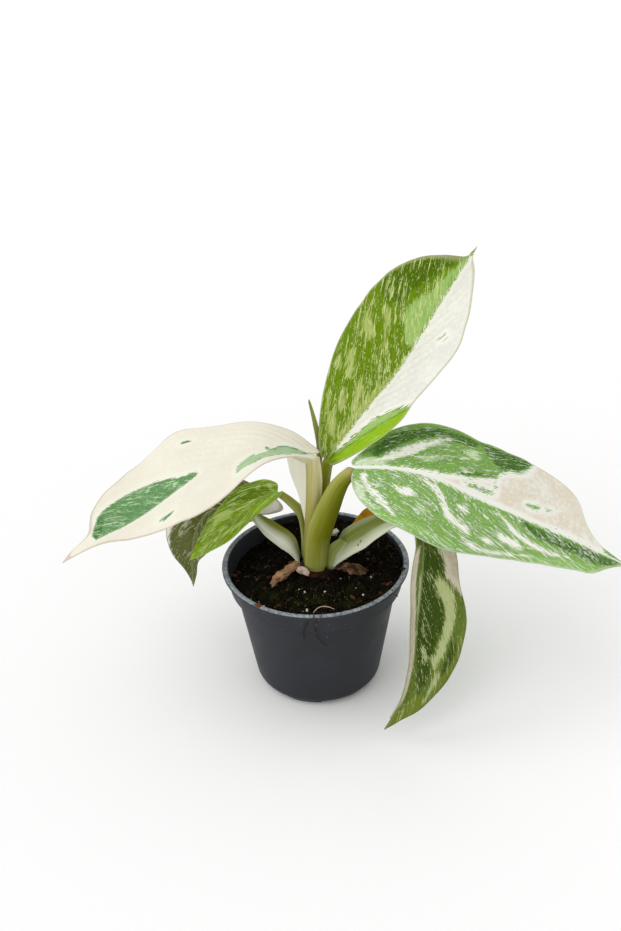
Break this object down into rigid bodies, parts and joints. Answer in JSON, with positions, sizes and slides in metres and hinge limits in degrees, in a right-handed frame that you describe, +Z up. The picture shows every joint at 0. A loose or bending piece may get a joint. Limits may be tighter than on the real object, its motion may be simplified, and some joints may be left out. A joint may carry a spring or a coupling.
{
  "type": "potted philodendron",
  "caption": "Young variegated jose buono philodendron with long cream and green leaves on short stalks, in a small round nursery pot filled with potting mix.",
  "frame": {"origin": "middle of the pad under the pot's floor, on the surface the pot stands on", "axes": "+Z up, +X towards the long leaf on the right, -Y towards the front, from where the plant is looked at"},
  "size_m": [0.2069, 0.0906, 0.1568],
  "materials": {
    "pot": "satin",
    "potting_mix": "rough",
    "crown": "rough",
    "leaf_upright": "satin",
    "leaf_left": "satin",
    "leaf_right": "satin",
    "leaf_hanging": "satin",
    "leaf_small": "satin",
    "leaf_back": "satin",
    "new_leaf": "satin",
    "withered_leaf": "matt",
    "bract": "matt"
  },
  "bodies": {
    "root": {"pot": "pot", "potting_mix": "potting_mix", "crown": "crown", "leaf_upright": "leaf_upright", "leaf_left": "leaf_left", "leaf_right": "leaf_right", "leaf_hanging": "leaf_hanging", "leaf_small": "leaf_small", "leaf_back": "leaf_back", "new_leaf": "new_leaf", "withered_leaf": "withered_leaf", "bract_left": "bract", "bract_right": "bract", "bract_pale": "bract"}
  },
  "joints": []
}
